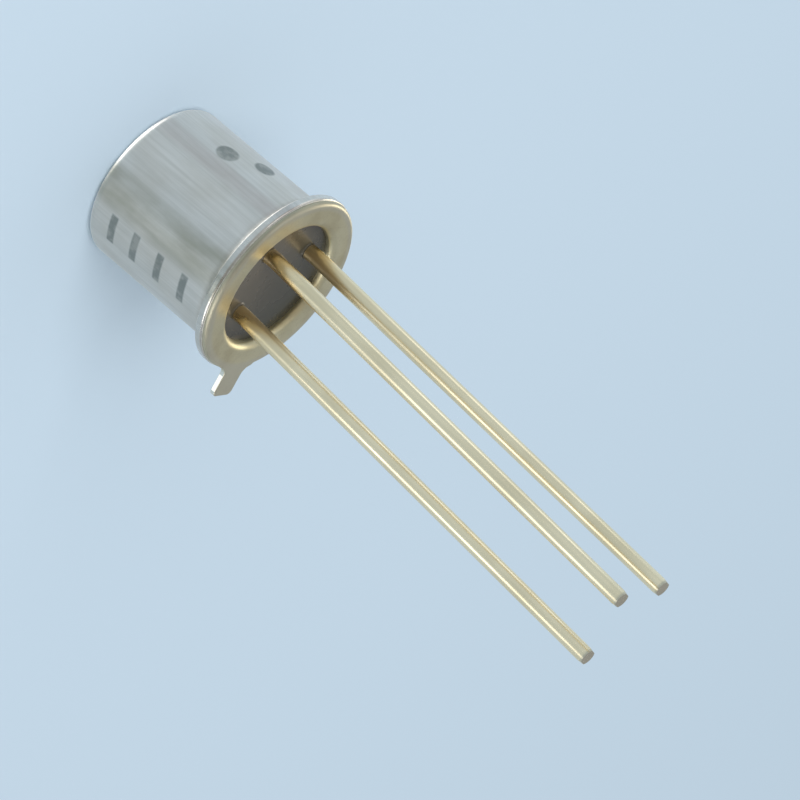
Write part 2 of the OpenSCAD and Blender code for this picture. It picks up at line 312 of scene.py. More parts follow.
def nickel_plate():
    """A soft grey mirror, streaked lengthwise, brighter on the rim the weld pressed. Painted reflection bands
    darken the wall, and painted shade darkens the duller flare.
    """
    material, tree, place = start("satin_nickel_plate_on_drawn_steel")
    patterns = []
    for width, length, detail, roughness in (
            (LINE_WIDTH, LINE_LENGTH, 4.0, 0.6), (HAZE_WIDTH, HAZE_LENGTH, 3.0, 0.5),
            (BAND_NOISE_WIDTH, BAND_NOISE_LENGTH, 3.0, 0.5), (CHIP_WIDTH, CHIP_LENGTH, 3.0, 0.5)):
        squeezed = add(tree, VECTOR, (place, (1, 1, width / length)), **PRODUCT)
        patterns.append(add(tree, NOISE, {
            "Vector": squeezed, "Scale": 1 / width, "Detail": detail, "Roughness": roughness}))
    lines, haze, band_noise, chips = patterns

    streak = add(tree, RANGE, (lines, 0.3, 0.75), **SMOOTH)
    tones = {BELOW: linear("#dedad2"), ABOVE: linear("#d0ccc3")}
    colour = add(tree, MIX, {SHARE: streak, **tones}, MIXED, **COLOUR)
    dull = add(tree, RANGE, (haze, 0.42, 0.7, 0.0, 0.3), **SMOOTH)
    colour = add(tree, MIX, {SHARE: dull, BELOW: colour, ABOVE: linear("#c4beb0")}, MIXED, **COLOUR)
    band_breakup = add(tree, RANGE, (band_noise, 0.3, 0.7, 0.5, 1.0), **SMOOTH)
    # Each band is painted reflection and shade that darkens the wall at one turn, broken up by noise.
    for turn, inner, outer, band_colour, amount in PAINTED_REFLECTION_BANDS:
        mask = add(tree, MATH, (stripe(tree, place, turn, inner, outer), band_breakup), **PRODUCT)
        mask = add(tree, MATH, (mask, amount), **PRODUCT)
        colour = add(tree, MIX, {SHARE: mask, BELOW: colour, ABOVE: linear(band_colour)}, MIXED, **COLOUR)

    marks = add(tree, MATH, (bars(tree, place), dots(tree, place)), operation="ADD")
    wear = add(tree, RANGE, (chips, 0.3, 0.6, 0.7, 1.0), **SMOOTH)
    ink = add(tree, MATH, (marks, wear), **PRODUCT)
    cover = add(tree, MATH, (ink, 0.8), **PRODUCT)
    colour = add(tree, MIX, {SHARE: cover, BELOW: colour, ABOVE: linear("#5c6866")}, MIXED, **COLOUR)
    metallic = add(tree, RANGE, (ink, 0.0, 1.0, 1.0, 0.3), **SMOOTH)

    height = add(tree, "ShaderNodeSeparateXYZ", (place,), "Z")
    rim = add(tree, RANGE, (height, RIM_Z + 0.01, RIM_Z + 0.06), **SMOOTH)
    flare = add(tree, RANGE, (height, FLARE_Z - 0.1, FLARE_Z + 0.1), **SMOOTH)
    flare = add(tree, MATH, (flare, add(tree, MATH, (1.0, rim), operation="SUBTRACT")), **PRODUCT)
    # Painted shade: the flare under the flange is darkened, which dims the highlight it would mirror.
    flare_shade = add(tree, MATH, (flare, 0.25), **PRODUCT)
    colour = add(tree, MIX, {SHARE: flare_shade, BELOW: colour, ABOVE: linear("#948f82")}, MIXED, **COLOUR)
    roughness = add(tree, RANGE, (haze, 0.3, 0.75, 0.32, 0.42), **SMOOTH)
    for share, change in ((lines, 0.06), (flare, 0.2), (rim, -0.12)):
        roughness = add(tree, MATH, (share, change, roughness), **PLUS_PRODUCT)
    surface = {"Base Color": colour, "Metallic": metallic, "Roughness": roughness}
    return finish(material, surface, lines, NICKEL_RELIEF)


nickel = nickel_plate()

# %% [markdown]
# ## Gold plate
# The header is a pressed eyelet and the leads are drawn wire, both of an iron-nickel-cobalt sealing alloy
# with a thin gold plate. One gold would do for both from afar. Up close the pressing is matt with a grey
# ring where the welding electrode sat, and its tab was sheared bright, while the wire is smoother and has
# lengthwise lines. So each has a material of its own.

# %% Gold of the header
# Such a plate's grain is usually near 0.01 mm. It is drawn 0.07 mm wide, so that it shows.
GRAIN = 0.07
CLOUD = 0.9
HEADER_RELIEF = 0.0015


def gold_header_plate():
    """Matt brownish gold, greyer in the electrode's ring, dull and darkened with painted shade on the
    flange's rounded edge, bright on the cut tab.
    """
    material, tree, place = start("matt_gold_plate_on_sealing_alloy_pressing")
    grain = add(tree, NOISE, {"Vector": place, "Scale": 1 / GRAIN, "Detail": 4.0, "Roughness": 0.6})
    cloud = add(tree, NOISE, {"Vector": place, "Scale": 1 / CLOUD, "Detail": 3.0})
    shade = add(tree, RANGE, (cloud, 0.35, 0.7), **SMOOTH)
    tones = {BELOW: linear("#d9d1af"), ABOVE: linear("#c8be9b")}
    colour = add(tree, MIX, {SHARE: shade, **tones}, MIXED, **COLOUR)
    specks = add(tree, RANGE, (grain, 0.5, 0.75, 0.0, 0.25), **SMOOTH)
    colour = add(tree, MIX, {SHARE: specks, BELOW: colour, ABOVE: linear("#ab946c")}, MIXED, **COLOUR)

    reach = away_from_axis(tree, place)
    height = add(tree, "ShaderNodeSeparateXYZ", (place,), "Z")
    pressed = add(tree, RANGE, (reach, FLANGE_R - 0.28, FLANGE_R - 0.14, 0.0, 0.6), **SMOOTH)
    below = add(tree, RANGE, (height, SEAT_Z - 0.015, SEAT_Z - 0.06), **SMOOTH)
    outer = add(tree, RANGE, (reach, FLANGE_R - 0.25, FLANGE_R - 0.1), **SMOOTH)
    within = add(tree, RANGE, (reach, FLANGE_R + 0.06, FLANGE_R + 0.02), **SMOOTH)
    # Painted shade and reflection: the flange's rounded edge is darkened towards dark olive, and made
    # rougher.
    shaded_edge = add(tree, MATH, (below, add(tree, MATH, (outer, within), **PRODUCT)), **PRODUCT)
    side = add(tree, RANGE, (height, SEAT_Z - 0.01, SEAT_Z - 0.03), **SMOOTH)
    on_tab = add(tree, RANGE, (reach, FLANGE_R + 0.05, FLANGE_R + 0.15), **SMOOTH)
    cut = add(tree, MATH, (side, on_tab), **PRODUCT)
    for mask, amount, tone in ((pressed, 1.0, "#d0cbb9"), (shaded_edge, 0.45, "#8f8a74"), (cut, 0.7, "#f0eee4")):
        share = add(tree, MATH, (mask, amount), **PRODUCT)
        colour = add(tree, MIX, {SHARE: share, BELOW: colour, ABOVE: linear(tone)}, MIXED, **COLOUR)
    roughness = add(tree, RANGE, (cloud, 0.3, 0.75, 0.38, 0.46), **SMOOTH)
    for share, change in ((shaded_edge, 0.1), (cut, -0.28)):
        roughness = add(tree, MATH, (share, change, roughness), **PLUS_PRODUCT)
    surface = {"Base Color": colour, "Metallic": 1.0, "Roughness": roughness}
    return finish(material, surface, grain, HEADER_RELIEF)


header_gold = gold_header_plate()

# %% Gold of the leads
# A wire's drawing lines are usually near 0.01 mm wide. They are drawn 0.05 mm wide, so that they show.
WIRE_LINE_WIDTH = 0.05
WIRE_LINE_LENGTH = 1.8
WIRE_CLOUD_WIDTH = 0.6
WIRE_CLOUD_LENGTH = 2.2
WIRE_RELIEF = 0.0012


def gold_lead_plate():
    """Smooth pale gold with lengthwise lines, warmer near the glass, and bare grey alloy at the cut tip."""
    material, tree, place = start("satin_gold_plate_on_drawn_wire")
    patterns = []
    for width, length, detail, roughness in (
            (WIRE_LINE_WIDTH, WIRE_LINE_LENGTH, 4.0, 0.6), (WIRE_CLOUD_WIDTH, WIRE_CLOUD_LENGTH, 3.0, 0.5)):
        squeezed = add(tree, VECTOR, (place, (1, 1, width / length)), **PRODUCT)
        patterns.append(add(tree, NOISE, {
            "Vector": squeezed, "Scale": 1 / width, "Detail": detail, "Roughness": roughness}))
    lines, cloud = patterns
    height = add(tree, "ShaderNodeSeparateXYZ", (place,), "Z")
    shade = add(tree, RANGE, (cloud, 0.35, 0.7), **SMOOTH)
    tones = {BELOW: linear("#f7e5c0"), ABOVE: linear("#ead8b2")}
    colour = add(tree, MIX, {SHARE: shade, **tones}, MIXED, **COLOUR)
    tip = SEAT_Z + LEAD_LEN
    for value, low, high, amount, tone in (
            (lines, 0.55, 0.8, 0.15, "#bda37c"), (height, tip - 0.13, tip - 0.04, 0.7, "#b3ad9b"),
            (height, SEAT_Z + 1.6, SEAT_Z - 0.1, 0.35, "#ecca84")):
        share = add(tree, RANGE, (value, low, high, 0.0, amount), **SMOOTH)
        colour = add(tree, MIX, {SHARE: share, BELOW: colour, ABOVE: linear(tone)}, MIXED, **COLOUR)
    roughness = add(tree, RANGE, (cloud, 0.3, 0.75, 0.24, 0.32), **SMOOTH)
    surface = {"Base Color": colour, "Metallic": 1.0, "Roughness": roughness}
    return finish(material, surface, lines, WIRE_RELIEF)


lead_gold = gold_lead_plate()

# %% [markdown]
# ## Sealing glass
# The leads are held by one piece of dark sealing glass, fused in the cup. It could be a clear glass with an
# absorbing inside, but this glass is full of dark pigment, and light doesn't get through. So it is an
# opaque dielectric with glass's own index of refraction, a little cloudy, with fine bubbles just under the
# skin.

# %% Glass material
GLASS_IOR = 1.52
GLASS_CLOUD = 0.8
# Such bubbles are usually near 0.02 mm across. They are drawn 0.06 mm wide, so that they show.
BUBBLE = 0.06
GLASS_RELIEF = 0.004
# Painted light and shade: the glass is paler on the side that faces the camera and darker towards the far
# side.
PAINTED_LIGHT_SIDE = toward(0, 0)


def sealing_glass():
    """Dark, brownish and softly glossy, with painted light and shade: paler on the camera's side, and darkest
    in a ring of painted shade where it meets the cup wall.
    """
    material, tree, place = start("dark_sealing_glass")
    cloud = add(tree, NOISE, {"Vector": place, "Scale": 1 / GLASS_CLOUD, "Detail": 3.0})
    bubbles = add(tree, NOISE, {"Vector": place, "Scale": 1 / BUBBLE, "Detail": 2.0})
    across = add(tree, VECTOR, (place, PAINTED_LIGHT_SIDE), "Value", operation="DOT_PRODUCT")
    pale = add(tree, RANGE, (across, -1.3, 1.5), **SMOOTH)
    tones = {BELOW: linear("#3b3a30"), ABOVE: linear("#584f3d")}
    colour = add(tree, MIX, {SHARE: pale, **tones}, MIXED, **COLOUR)
    # The second entry is painted shade: a dark ring in the glass along the cup wall.
    for value, low, high, amount, tone in (
            (cloud, 0.35, 0.7, 0.3, "#4c4941"), (away_from_axis(tree, place), 1.5, 1.82, 0.5, "#1d1b15"),
            (bubbles, 0.68, 0.8, 0.5, "#5a5a57")):
        share = add(tree, RANGE, (value, low, high, 0.0, amount), **SMOOTH)
        colour = add(tree, MIX, {SHARE: share, BELOW: colour, ABOVE: linear(tone)}, MIXED, **COLOUR)
    roughness = add(tree, RANGE, (cloud, 0.3, 0.8, 0.24, 0.34), **SMOOTH)
    surface = {"Base Color": colour, "Metallic": 0.0, "Roughness": roughness, "IOR": GLASS_IOR}
    return finish(material, surface, cloud, GLASS_RELIEF)


glass = sealing_glass()

# %% [markdown]
# ## Inside the can
# The die is polished silicon with bright metal combs. Gold-silicon solder holds it on the platform, and two
# gold wires go to the posts. The combs could be a second material slot, but the CAD mesh has only one, so
# the die's material tells metal from silicon by height.

# %% Inner materials
# Thickness of the die's metal, and the sizes of the patterns, in millimetres
DIE_METAL_T = 0.012
DIE_CLOUD = 0.08
SOLDER_GRAIN = 0.04
BOND_GRAIN = 0.006


def die_silicon():
    """Blue-grey and mirror-smooth, with paler metal standing on it."""
    material, tree, place = start("polished_silicon_with_metal_combs")
    height = add(tree, "ShaderNodeSeparateXYZ", (place,), "Z")
    face_z = box_mm("jfet_die")[0][2] + DIE_METAL_T
    metal = add(tree, RANGE, (height, face_z - 0.001, face_z - 0.004), **SMOOTH)
    cloud = add(tree, NOISE, {"Vector": place, "Scale": 1 / DIE_CLOUD, "Detail": 3.0})
    shade = add(tree, RANGE, (cloud, 0.35, 0.7), **SMOOTH)
    tones = {BELOW: linear("#4d5560"), ABOVE: linear("#5d6470")}
    colour = add(tree, MIX, {SHARE: shade, **tones}, MIXED, **COLOUR)
    colour = add(tree, MIX, {SHARE: metal, BELOW: colour, ABOVE: linear("#e3e4e6")}, MIXED, **COLOUR)
    roughness = add(tree, RANGE, (cloud, 0.3, 0.7, 0.12, 0.2), **SMOOTH)
    return finish(material, {"Base Color": colour, "Metallic": metal, "Roughness": roughness})


def grained_metal(name, size, detail, ends, tones, roughness, depth_mm):
    """A bare metal of two close tones with a fine grain of the given size, which scatters its gloss."""
    material, tree, place = start(name)
    grain = add(tree, NOISE, {"Vector": place, "Scale": 1 / size, "Detail": detail})
    shade = add(tree, RANGE, (grain, *ends), **SMOOTH)
    colour = add(tree, MIX, {SHARE: shade, BELOW: linear(tones[0]), ABOVE: linear(tones[1])}, MIXED, **COLOUR)
    surface = {"Base Color": colour, "Metallic": 1.0, "Roughness": roughness}
    return finish(material, surface, grain, depth_mm)


silicon = die_silicon()
# Solder freezes with a frosted skin.
die_solder = grained_metal(
    "gold_silicon_solder", SOLDER_GRAIN, 4.0, (0.35, 0.7), ("#e6c36e", "#b99a5a"), 0.4, 0.004)
# A bond wire is fine gold, smooth and rich in colour.
wire_gold = grained_metal(
    "drawn_gold_bond_wire", BOND_GRAIN, 3.0, (0.3, 0.7), ("#ffdf92", "#eac878"), 0.22, 0.0005)

# %% [markdown]
# ## Grid surfaces
# Every round piece here is a stack of rings. It could be turned from a cylinder with bevels on it, but
# their rounding would follow the tool and not the sizes. So a grid of points, ring by ring and column by
# column, is worked out with numpy in one go, and one helper skins it: quads between the rings, and a fan
# that closes each end. A CAD mesh of the same form has coarse facets, which satin metal would show as steps
# in its highlights.

# %% Helpers for profiles
# Radius of the ring that a closing fan is drawn from, in millimetres
POLE_R = 0.2


def arc(centre, radius, start_deg, end_deg, count=12):
    """Points of an arc: centre plus radius times the cosine and sine of evenly spaced angles."""
    a = np.radians(np.linspace(start_deg, end_deg, count))
    return np.column_stack((centre[0] + radius * np.cos(a), centre[1] + radius * np.sin(a)))


def run(start, end, count=4, hem=0.015):
    """Inner points of a straight run: evenly spaced, plus one close to each end to keep its shading flat."""
    start, end = np.array(start, float), np.array(end, float)
    length = np.linalg.norm(end - start)
    share = np.concatenate(([hem / length], np.linspace(0, 1, count + 2)[1:-1], [1 - hem / length]))
    return start + (end - start) * share[:, None]


print("an arc has", len(arc((0, 0), 1, 0, 90)), "points and a run", len(run((0, 0), (1, 0))), "inner ones")

# %% Helpers for grids


def around(columns):
    """Unit vectors evenly spaced round Z: the cosine and sine of each turn."""
    turn = np.linspace(0, 2 * np.pi, columns, endpoint=False)
    return np.column_stack((np.cos(turn), np.sin(turn)))


def raised(flat, height):
    """Points of x and y with a height joined to each as z."""
    return np.concatenate((flat, np.broadcast_to(height, flat[..., :1].shape)), axis=-1)


def spin(profile, ways):
    """Grid of a profile turned about Z: x and y are radius times a column's unit vector, z is height."""
    return raised(profile[:, None, :1] * ways, profile[:, None, 1:])


print("a ring of eight:", spin(np.array([[1.0, 0.0]]), around(8)).shape)

# %% Helper that skins a grid
SHARP_ANGLE = math.radians(35)


def skin(name, grid, closed=False):
    """Object from a rings x columns grid in millimetres: quads, with fans at the ends unless it is closed."""
    rings, columns = grid.shape[:2]
    index = np.arange(rings * columns).reshape(rings, columns)
    lower = index if closed else index[:-1]
    upper = np.roll(index, -1, axis=0) if closed else index[1:]
    quads = np.stack((lower, np.roll(lower, -1, axis=1), np.roll(upper, -1, axis=1), upper), axis=-1)
    points = grid.reshape(-1, 3)
    faces = quads.reshape(-1, 4).tolist()
    if not closed:
        points = np.vstack((points, grid[0].mean(axis=0), grid[-1].mean(axis=0)))
        first, last = index[0], index[-1]
        foot = np.full(columns, rings * columns)
        faces += np.column_stack((foot, np.roll(first, -1), first)).tolist()
        faces += np.column_stack((foot + 1, last, np.roll(last, -1))).tolist()
    mesh = bpy.data.meshes.new(name)
    mesh.from_pydata((points * MM).tolist(), [], faces)
    mesh.shade_smooth()
    mesh.set_sharp_from_angle(angle=SHARP_ANGLE)
    piece = bpy.data.objects.new(name, mesh)
    scene.collection.objects.link(piece)
    return piece


print("edges are sharp from", round(math.degrees(SHARP_ANGLE)), "degrees")

# %% Helper that settles a piece


def settle(piece, node_name, material):
    """Puts a finished piece on the body and in its material, in place of a CAD node."""
    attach(piece, "root")
    if node_name:
        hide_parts(node_name)
    piece.data.materials.append(material)
    print(piece.name, len(piece.data.polygons), "faces")


print("CAD nodes to stand for or to dress:", len(nodes))

# %% [markdown]
# ## The can
# The can is one sheet drawn to a cup, with a flat top, a rounded corner, a straight wall, and a flared
# flange that carries the weld. A surface with a Solidify modifier could give the wall, but here outside and
# inside are one lathed profile, so that the sheet closes at the rim as the real one does. A drawn wall is
# never a perfect cylinder, so it gets long shallow waves a few thousandths of a millimetre deep.

# %% Profile of the can
CAN_IN_R = CAN_R - CAN_WALL
MOUTH_R = FLARE_R
CAN_COLUMNS = 360


def can_profile():
    """Radius and height along the sheet, from the top's centre over the outside and back along the inside."""
    corner = CAN_R - CAN_CORNER_R
    rim = RIM_R - RIM_EDGE_R
    inner = CAN_CORNER_R - CAN_WALL
    return np.vstack((
        [[POLE_R, 0]], run((POLE_R, 0), (corner, 0), 6),
        arc((corner, CAN_CORNER_R), CAN_CORNER_R, -90, 0, 16),
        run((CAN_R, CAN_CORNER_R), (CAN_R, FLARE_Z), 20),
        arc((CAN_R + FLARE_R, FLARE_Z), FLARE_R, 180, 90, 16),
        arc((rim, RIM_Z + RIM_EDGE_R), RIM_EDGE_R, -90, 0, 10),
        run((RIM_R, RIM_Z + RIM_EDGE_R), (RIM_R, HEADER_Z - RIM_EDGE_R), 1),
        arc((rim, HEADER_Z - RIM_EDGE_R), RIM_EDGE_R, 0, 90, 10),
        run((rim, HEADER_Z), (CAN_IN_R + MOUTH_R, HEADER_Z), 1),
        arc((CAN_IN_R + MOUTH_R, HEADER_Z - MOUTH_R), MOUTH_R, 90, 180, 12),
        run((CAN_IN_R, HEADER_Z - MOUTH_R), (CAN_IN_R, CAN_TOP_T + inner), 4),
        arc((CAN_IN_R - inner, CAN_TOP_T + inner), inner, 0, -90, 6),
        run((CAN_IN_R - inner, CAN_TOP_T), (POLE_R, CAN_TOP_T), 3), [[POLE_R, CAN_TOP_T]]))


print("can profile points:", len(can_profile()))

# %% Can piece
WAVE_DEPTH = 0.004
# Waves round the can, twist per millimetre of height, and start
WAVES = ((3, 0.9, 0.0), (7, -1.7, 1.0), (11, 0.6, 2.0))
# Height over which the waves fade out at each end of the wall
WAVE_FADE = 0.4


def drawn_waves(grid):
    """Pulls the outside of the wall in by up to WAVE_DEPTH: the mean of slow cosines of turn and height."""
    x, y, z = grid[..., 0], grid[..., 1], grid[..., 2]
    turn = np.arctan2(y, x)
    wave = sum(np.cos(count * turn + twist * z + first) for count, twist, first in WAVES) / len(WAVES)
    outside = np.hypot(x, y) > CAN_R - CAN_WALL / 2
    along = np.clip((z - CAN_CORNER_R) / WAVE_FADE, 0, 1) * np.clip((FLARE_Z - z) / WAVE_FADE, 0, 1)
    pull = WAVE_DEPTH / 2 * (1 + wave) * along * outside
    grid[..., :2] *= (1 - pull / CAN_R)[..., None]
    return grid


can_piece = skin("drawn_can", drawn_waves(spin(can_profile(), around(CAN_COLUMNS))))
settle(can_piece, "can", nickel)

# %% [markdown]
# ## The header
# The header is an eyelet pressed from sheet: a platform, a cup wall, a rounded lip and a flange with a
# sheared tab. The tab could be a block joined to a lathed disc, but a Boolean leaves a hard line where the
# real one has a rounded root. Here every column of the grid has its own point on one outline with the tab
# in it, and the rounding of the edge follows the outline's normals. The tab's edges were sheared, so they
# are nearly sharp.

# %% Outline of the flange with its tab
TAB_TURN = math.radians(45)
TAB_HALF = 0.39
TAB_LEN = 0.85
TAB_CORNER_R = 0.15
TAB_ROOT_R = 0.3
ROUND_COLUMNS = 300


def half_outline():
    """One half of the outline, from the tab's end to the far side of the flange, with the tab along +X."""
    reach = FLANGE_R + TAB_LEN
    root_y = TAB_HALF + TAB_ROOT_R
    root_x = math.sqrt((FLANGE_R + TAB_ROOT_R) ** 2 - root_y ** 2)
    touch = math.degrees(math.atan2(root_y, root_x))
    return np.vstack((
        [[reach, 0.0]], run((reach, 0), (reach, TAB_HALF - TAB_CORNER_R), 2),
        arc((reach - TAB_CORNER_R, TAB_HALF - TAB_CORNER_R), TAB_CORNER_R, 0, 90, 10),
        run((reach - TAB_CORNER_R, TAB_HALF), (root_x, TAB_HALF), 4),
        arc((root_x, root_y), TAB_ROOT_R, 270, 180 + touch, 16)[:-1],
        arc((0, 0), FLANGE_R, touch, 180, ROUND_COLUMNS // 2)))


def outline():
    """The whole outline, anticlockwise, turned so that the tab points between +X and +Y."""
    half = half_outline()
    other = (half * (1, -1))[-2:0:-1]
    c, s = math.cos(TAB_TURN), math.sin(TAB_TURN)
    return np.vstack((half, other)) @ np.array([[c, s], [-s, c]])


edge = outline()
print("outline columns:", len(edge), "reach", round(float(np.hypot(*edge.T).max()), 2))

# %% Edge of the flange
TAB_EDGE_R = 0.03
# Degrees from the tab's middle where the rounding starts to grow, and how many it takes
EDGE_STEP = (13.6, 2.5)


def inward(loop):
    """Unit normals left of an anticlockwise loop: the tangent from neighbour to neighbour, turned by 90."""
    tangent = np.roll(loop, -1, axis=0) - np.roll(loop, 1, axis=0)
    tangent /= np.linalg.norm(tangent, axis=1)[:, None]
    return np.column_stack((-tangent[:, 1], tangent[:, 0]))


def edge_radius(loop):
    """Rounding of each column: the flange's radius, a sheared edge's over the tab, a smooth step between."""
    turn = np.abs(np.arctan2(loop[:, 1], loop[:, 0]) - TAB_TURN)
    step = np.clip((np.degrees(np.minimum(turn, 2 * np.pi - turn)) - EDGE_STEP[0]) / EDGE_STEP[1], 0, 1)
    return TAB_EDGE_R + (FLANGE_EDGE_R - TAB_EDGE_R) * step * step * (3 - 2 * step)


radii = edge_radius(edge)
print("edge radius from", round(float(radii.min()), 2), "to", round(float(radii.max()), 2))

# %% Header surface
BURR = 0.02
CUP_FLOOR_R = 0.08
INNER_R = CUP_R - CUP_WALL
FLOOR_Z = PLATFORM_Z + PLATFORM_T
# Where the rings of the flange's face lie between its rounded edge and the lip
FACE_SHARES = np.array((0.03, 0.25, 0.5, 0.75, 0.97, 1.0))


def header_grid():
    """Rings from the platform's middle, up the cup, round the flange's edge, and down into the cup again."""
    ways = edge / np.hypot(*edge.T)[:, None]
    normal, radius = inward(edge), edge_radius(edge)[:, None]
    flat, corner = CUP_R - LIP_R, PLATFORM_Z + LIP_R
    outside = np.vstack((
        [[POLE_R, PLATFORM_Z]], run((POLE_R, PLATFORM_Z), (flat, PLATFORM_Z), 5),
        arc((flat, corner), LIP_R, -90, 0, 12),
        run((CUP_R, corner), (CUP_R, HEADER_Z), 3), [[CUP_R, HEADER_Z]]))
    inside = np.vstack((
        arc((INNER_R + LIP_R, SEAT_Z - LIP_R), LIP_R, 90, 180, 14)[1:],
        run((INNER_R, SEAT_Z - LIP_R), (INNER_R, FLOOR_Z + CUP_FLOOR_R), 3),
        arc((INNER_R - CUP_FLOOR_R, FLOOR_Z + CUP_FLOOR_R), CUP_FLOOR_R, 0, -90, 6),
        run((INNER_R - CUP_FLOOR_R, FLOOR_Z), (POLE_R, FLOOR_Z), 4), [[POLE_R, FLOOR_Z]]))
    cup, burr = ways * CUP_R, edge + normal * BURR
    shares = np.linspace(0, 1, 6)[1:-1, None, None]
    bend = np.radians(np.linspace(0, 90, 12))[:, None, None]
    face, lip = edge + normal * radius, ways * (INNER_R + LIP_R)
    return np.concatenate((
        spin(outside, ways),
        raised(cup + (burr - cup) * shares, HEADER_Z),
        raised(burr[None], HEADER_Z),
        raised(edge[None], HEADER_Z + BURR),
        raised(edge + normal * (radius * (1 - np.cos(bend))), SEAT_Z - radius * (1 - np.sin(bend))),
        raised(face + (lip - face) * FACE_SHARES[:, None, None], SEAT_Z),
        spin(inside, ways)))


header_rings = header_grid()
header_piece = skin("pressed_header", header_rings)
print("header rings and columns:", header_rings.shape[:2])

# %% Holes for the two insulated leads
HOLE_R = 0.48
DRILL_COLUMNS = 72
DRILL_SPARE = 0.1


def drill(piece, places, radius, low, high):
    """Cuts round holes along Z with a Boolean, applies it, and removes the drills."""
    tube = spin(np.array([[radius, low], [radius, high]]), around(DRILL_COLUMNS))
    for x, y in places:
        tool = skin("drill", tube + (x, y, 0))
        cut = piece.modifiers.new("hole", "BOOLEAN")
        cut.solver = "EXACT"
        cut.object = tool
        bpy.context.view_layer.update()
        whole = piece.evaluated_get(bpy.context.evaluated_depsgraph_get())
        cut_mesh = bpy.data.meshes.new_from_object(whole)
        piece.modifiers.clear()
        piece.data = cut_mesh
        bpy.data.objects.remove(tool)


drill(header_piece, ((PIN_R, 0), (0, -PIN_R)), HOLE_R, PLATFORM_Z - DRILL_SPARE, FLOOR_Z + DRILL_SPARE)
settle(header_piece, "header_shell", header_gold)

# %% [markdown]
# ## The leads
# Each lead is one piece of drawn wire: a post through the glass, a slight bend at the seating plane, and a
# long straight run that leans a little. A Blender curve with a round bevel could give it, but a curve can't
# change to a flattened head or to pinched flats. So it is a circle carried along its axis, ring by ring.
# Two posts have a head for the bond wire, and the third is welded to the platform. The cutter left two
# shallow flats at each tip.

# %% Rings of a lead
# Distance past the seating plane and share of the lean, through the bend
BEND = ((-0.05, 0.1), (-0.02, 0.3), (0.0, 0.5), (0.02, 0.7), (0.05, 0.9), (0.09, 1.0))
STRAIGHT_FROM = 0.6
STRAIGHT_RINGS = 24
PINCH_LEN = 0.15
PINCH_DEPTH = 0.03
PINCH_SHARES = (0.35, 0.7, 1.0)


def lead_rings(lean_deg, post):
    """Distance along the wire, how far it leans, its radius and the half width between its flats, by ring."""
    lean = math.radians(lean_deg)
    straight = np.linspace(STRAIGHT_FROM, LEAD_LEN - PINCH_LEN, STRAIGHT_RINGS)
    rows = [(z - SEAT_Z, 0.0, r, r) for z, r in post]
    rows += [(s, lean * share, LEAD_R, LEAD_R) for s, share in BEND]
    rows += [(s, lean, LEAD_R, LEAD_R) for s in straight]
    rows += [(LEAD_LEN - PINCH_LEN * (1 - k), lean, LEAD_R, LEAD_R - PINCH_DEPTH * k) for k in PINCH_SHARES]
    return np.array(rows)


print("rings past the post:", len(lead_rings(0, [])))

# %% Surface of a lead
LEAN_WAY = math.radians(17)
WIRE_COLUMNS = 64


def lead_grid(foot, lean_deg, post):
    """Circles of points about the wire's axis: x and y across it, clipped to the flats, leaned and placed."""
    along, lean, radius, half = lead_rings(lean_deg, post).T[:, :, None]
    turn = np.linspace(0, 2 * np.pi, WIRE_COLUMNS, endpoint=False)
    across = np.clip(radius * np.cos(turn), -half, half)
    side = radius * np.sin(turn)
    full = math.radians(lean_deg)
    axis_x = np.where(along > 0, along * math.sin(full), 0)
    axis_z = np.where(along > 0, along * math.cos(full), along)
    x = axis_x + across * np.cos(lean)
    z = axis_z - across * np.sin(lean)
    c, s = math.cos(LEAN_WAY), math.sin(LEAN_WAY)
    return np.stack((foot[0] + x * c - side * s, foot[1] + x * s + side * c, SEAT_Z + z), axis=-1)


print("a bare wire's grid:", lead_grid((0, 0), 0, []).shape)

# %% Lead pieces
HEAD_R = 0.31
HEAD_LOW = 3.4
HEAD_HIGH = 3.5
WELD_FILLET = 0.1
# Height of the extra ring that keeps a step's shading crisp
RING_HEM = 0.02
POST_TOP = 4.8
# Height and radius of each ring, from the bottom of the post up
headed = [
    (HEAD_LOW, HEAD_R), (HEAD_LOW + RING_HEM, HEAD_R), (HEAD_HIGH - RING_HEM, HEAD_R), (HEAD_HIGH, HEAD_R),
    (HEAD_HIGH, LEAD_R), (HEAD_HIGH + RING_HEM, LEAD_R), (4.2, LEAD_R), (4.6, LEAD_R), (POST_TOP, LEAD_R)]
welded = [
    (FLOOR_Z, LEAD_R + WELD_FILLET), (FLOOR_Z + WELD_FILLET, LEAD_R),
    (FLOOR_Z + WELD_FILLET + RING_HEM, LEAD_R), (4.5, LEAD_R), (POST_TOP, LEAD_R)]
for name, node_name, foot, lean_deg, post in (
        ("source_wire", "source_lead", (PIN_R, 0), 3.9, headed),
        ("drain_wire", "drain_lead", (0, -PIN_R), 3.9, headed),
        ("gate_wire", "gate_lead", (-PIN_R, 0), 3.4, welded)):
    wire = skin(name, lead_grid(foot, lean_deg, post))
    settle(wire, node_name, lead_gold)

# %% [markdown]
# ## The weld seam
# The can is projection-welded to the header, and a thin rough bead is squeezed out all round. It could be a
# bump in the nickel, but a bead has a shadow and a highlight of its own. So it is a ring whose radius and
# thickness wander a little, in the pale yellowish grey of heated nickel.

# %% Surface of the weld seam
SEAM_COLUMNS = 480
BEAD_SIDES = 10
# The bead's radius and how much it varies, and how far its ring drifts and lies out and up, in millimetres
BEAD_R = 0.016
BEAD_VARY = 0.004
BEAD_DRIFT = 0.003
BEAD_OUT = 0.001
BEAD_UP = 0.004
DRIFT_WAVES = 9
# Share, waves round the part and start of each cosine in the bead's thickness
WANDER = ((0.35, 5, 1), (0.3, 23, 0), (0.2, 57, 2))


